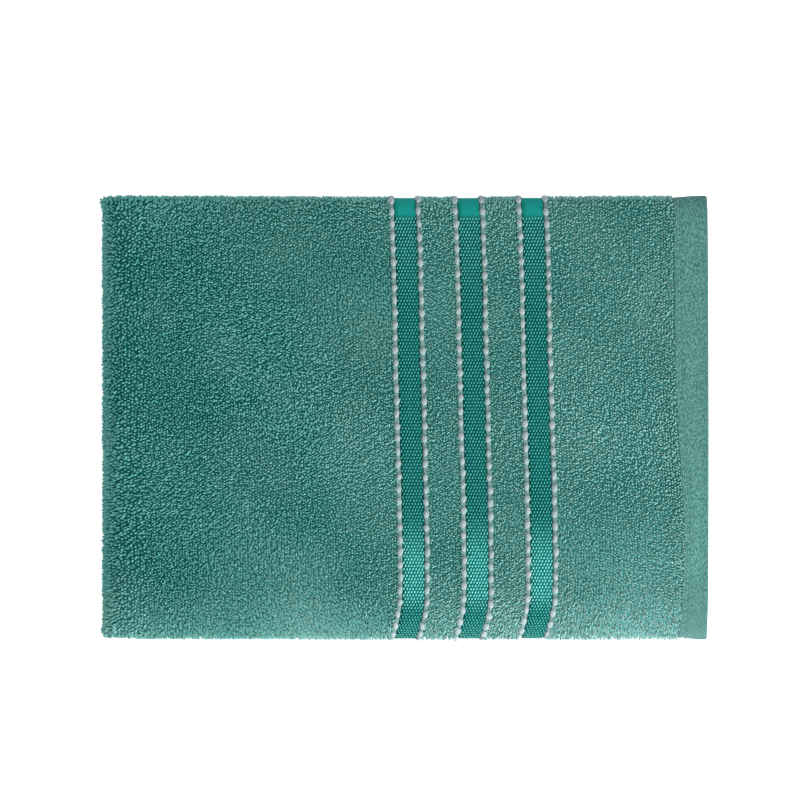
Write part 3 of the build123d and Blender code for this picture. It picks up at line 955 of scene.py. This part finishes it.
def satin_band(towel, end, number, v):
    name = f"{towel}_{end}_satin_{number}"
    us = u_lines(BAND_FROM_U, BAND_TO_U)
    vs = v + np.linspace(-0.5, 0.5, 5) * SATIN_WIDTH
    strip, _ = sheet_piece(name, towel, us, vs, even(SATIN_HALF), SATIN, SATIN_LIFT, (0, 0.3))
    rows = even_places(towel, BAND_FROM_U, OUTER_TO - SATIN_SMOOTH, FLOAT_ROW, v, SATIN_LIFT)
    places = v + (np.arange(FLOATS_ACROSS) - FLOATS_ACROSS // 2) * FLOAT_PITCH
    u, at = np.meshgrid(rows, places, indexing="ij")
    at = at + stagger(len(rows))[:, None] * FLOAT_PITCH
    u = (u + rng.uniform(-FLOAT_STRAY, FLOAT_STRAY, u.shape) * FLOAT_ROW).ravel()
    at = (at + rng.uniform(-FLOAT_STRAY, FLOAT_STRAY, at.shape) * FLOAT_PITCH).ravel()
    floats = plant(name + "_floats", towel, u, at, FLOAT_LIFT, GRAIN_TREE, FLOAT_SHAPE,
                   slant=FLOAT_SLANT, part=(0.3, 1))
    band = join(name, [strip, floats])
    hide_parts(f"{towel}_{end}_satin_band_{number}")
    return band


def bead_cords(towel, end, number, v):
    name = f"{towel}_{end}_beads_{number}"
    parts = []
    for side in (-1, 1):
        middle = v + side * CORD_SPACING / 2
        us = u_lines(BAND_FROM_U, BAND_TO_U)
        at_left = 0.25 * (side + 1)
        binding, _ = sheet_piece(name, towel, us, middle + np.linspace(-0.5, 0.5, 4) * BINDING_WIDTH,
                                 even(BINDING_HALF), BINDING, BINDING_LIFT, (at_left, at_left + 0.1))
        shift = rng.uniform(0, 1) * BEAD_PITCH
        u = even_places(towel, BAND_FROM_U + shift, BAND_TO_U, BEAD_PITCH, middle, BEAD_LIFT)
        u = u + rng.uniform(-BEAD_STRAY, BEAD_STRAY, u.shape) * BEAD_PITCH
        at = middle + rng.uniform(-BEAD_STRAY_ASIDE, BEAD_STRAY_ASIDE, u.shape)
        beads = plant(name + "_row", towel, u, at, BEAD_LIFT, GRAIN_TREE,
                      {**BEAD_SHAPE, "Seed": 5 + number}, part=(at_left + 0.1, at_left + 0.5))
        parts += [binding, beads]
    cords = join(name, parts)
    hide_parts(f"{towel}_{end}_bead_cords_{number}")
    return cords


def hem_profile(from_end):
    """Half the thickness of an end hem: rounded at the cut, pinched by the seam."""
    round_end = np.sqrt(np.clip(from_end / CUT_ROUND, 0.05, 1))
    pinch = SEAM_PINCH * np.exp(-((from_end - SEAM_FROM_END) / PINCH_WIDTH) ** 2)
    return HEM_HALF * round_end * (1 - pinch)


def end_hem(towel, end):
    name = f"{towel}_{end}_hem"
    vs = HEM_LINES if end == "top" else (V_END - HEM_LINES)[::-1]
    profile = hem_profile if end == "top" else (lambda v: hem_profile(V_END - v))
    hem, _ = sheet_piece(name, towel, u_lines(0, U_END), vs, profile, HEM)
    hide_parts(f"{towel}_{end}_end_hem")
    return hem


def hem_seam(towel, end):
    name = f"{towel}_{end}_hem_stitches"
    u = spread(STITCH_FROM, U_END - STITCH_FROM, STITCH_PITCH)
    v = np.full_like(u, SEAM_FROM_END if end == "top" else V_END - SEAM_FROM_END)
    seam = plant(name, towel, u, v, STITCH_LIFT, GRAIN_TREE, STITCH_SHAPE)
    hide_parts(f"{towel}_{end}_hem_seam")
    return seam


def side_hems(towel):
    vs = v_lines(HEM_WIDTH, V_END - HEM_WIDTH)
    made = []
    for low, high in ((0, SIDE_HEM), (U_END - SIDE_HEM, U_END)):
        us = low + SIDE_HEM_LINES * (high - low)
        part = (0, 0.5) if low == 0 else (0.5, 1)
        made.append(sheet_piece(f"{towel}_side_hem", towel, us, vs, even(SIDE_HEM_HALF), HEM, part=part))
    share = np.concatenate([share for _, share in made])
    hems = join(f"{towel}_side_hems", [piece for piece, _ in made])
    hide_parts(f"{towel}_side_hems_top_half", f"{towel}_side_hems_bottom_half")
    return hems, share


def towel_pieces(towel):
    cloth, share = sheet_piece(
        f"{towel}_cloth", towel, u_lines(SIDE_HEM, U_END - SIDE_HEM),
        v_lines(HEM_WIDTH, V_END - HEM_WIDTH), even(GROUND_HALF), GROUND)
    panels = ("bottom_panel", "right_fold", "second_panel", "inner_fold", "third_panel", "top_panel",
              "outer_fold")
    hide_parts(*(f"{towel}_{panel}" for panel in panels))
    follow(towel, cloth, share)
    edges, hem_share = side_hems(towel)
    follow(towel, edges, hem_share)
    hems = []
    for end in ("top", "inner"):
        trim = [hem_seam(towel, end)]
        hems.append(end_hem(towel, end))
        for number, from_end in enumerate(BAND_FROM_END, 1):
            v = from_end if end == "top" else V_END - from_end
            trim += [satin_band(towel, end, number, v), bead_cords(towel, end, number, v)]
        for piece in trim + hems[-1:]:
            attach(piece, TOP_HALF if towel == "upper" else "lower_towel")
    towel_pile(towel)


for towel in TOWELS:
    towel_pieces(towel)


# Floor, light and camera

FLOOR_REACH, FLOOR_Z = 6.0, -0.5 * MM
FLOOR_GLOW = 0.68
ROOM_LIGHT = 0.50
LAMPS = {"window": ((0.62, -0.66, 0.50), 0.7, 12.0), "overhead": ((0.3, -0.15, 2.1), 0.9, 12.0)}
LENS, SENSOR = 150.0, 36.0  # in the camera's own millimetres
VIEW_WIDTH = 0.4256  # what the camera sees across at the height of the stack's top
EYE_X, EYE_Y = -2.9 * MM, 10.2 * MM


def studio():
    """A pale floor and room, a low window light from the near right and a broad light overhead."""
    floor_mesh = bpy.data.meshes.new("floor")
    corners = [(x * FLOOR_REACH, y * FLOOR_REACH, FLOOR_Z) for x, y in ((-1, -1), (1, -1), (1, 1), (-1, 1))]
    floor_mesh.from_pydata(corners, [], [(0, 1, 2, 3)])
    material, tree = new_material("white studio floor")
    shader = add(tree, "ShaderNodeBsdfPrincipled",
                 {"Base Color": linear("#F6F6F6"), "Roughness": 0.9, "Specular IOR Level": 0.1,
                  "Emission Color": linear("#FFFFFF"), "Emission Strength": FLOOR_GLOW})
    add(tree, "ShaderNodeOutputMaterial", {"Surface": shader})
    floor_mesh.materials.append(material)
    floor = new_object("floor", floor_mesh)

    world = bpy.data.worlds.new("pale room")
    bpy.context.scene.world = world
    world.use_nodes = True
    background = world.node_tree.nodes["Background"].inputs
    background["Color"].default_value = (1, 1, 1, 1)
    background["Strength"].default_value = ROOM_LIGHT

    for name, (place, size, power) in LAMPS.items():
        light = bpy.data.lights.new(name, "AREA")
        light.size, light.energy = size, power
        lamp = new_object(name, light)
        lamp.location = place
        lamp.rotation_euler = (-lamp.location).to_track_quat("-Z", "Y").to_euler()


def camera():
    """Looks straight down on the stack."""
    data = bpy.data.cameras.new("camera")
    data.lens, data.sensor_width = LENS, SENSOR
    eye = new_object("camera", data)
    distance = VIEW_WIDTH / 2 / (SENSOR / 2 / LENS)
    eye.location = (EYE_X, EYE_Y, cad_high.z + distance)
    bpy.context.scene.camera = eye


studio()
camera()
bpy.context.scene.view_settings.view_transform = "Standard"
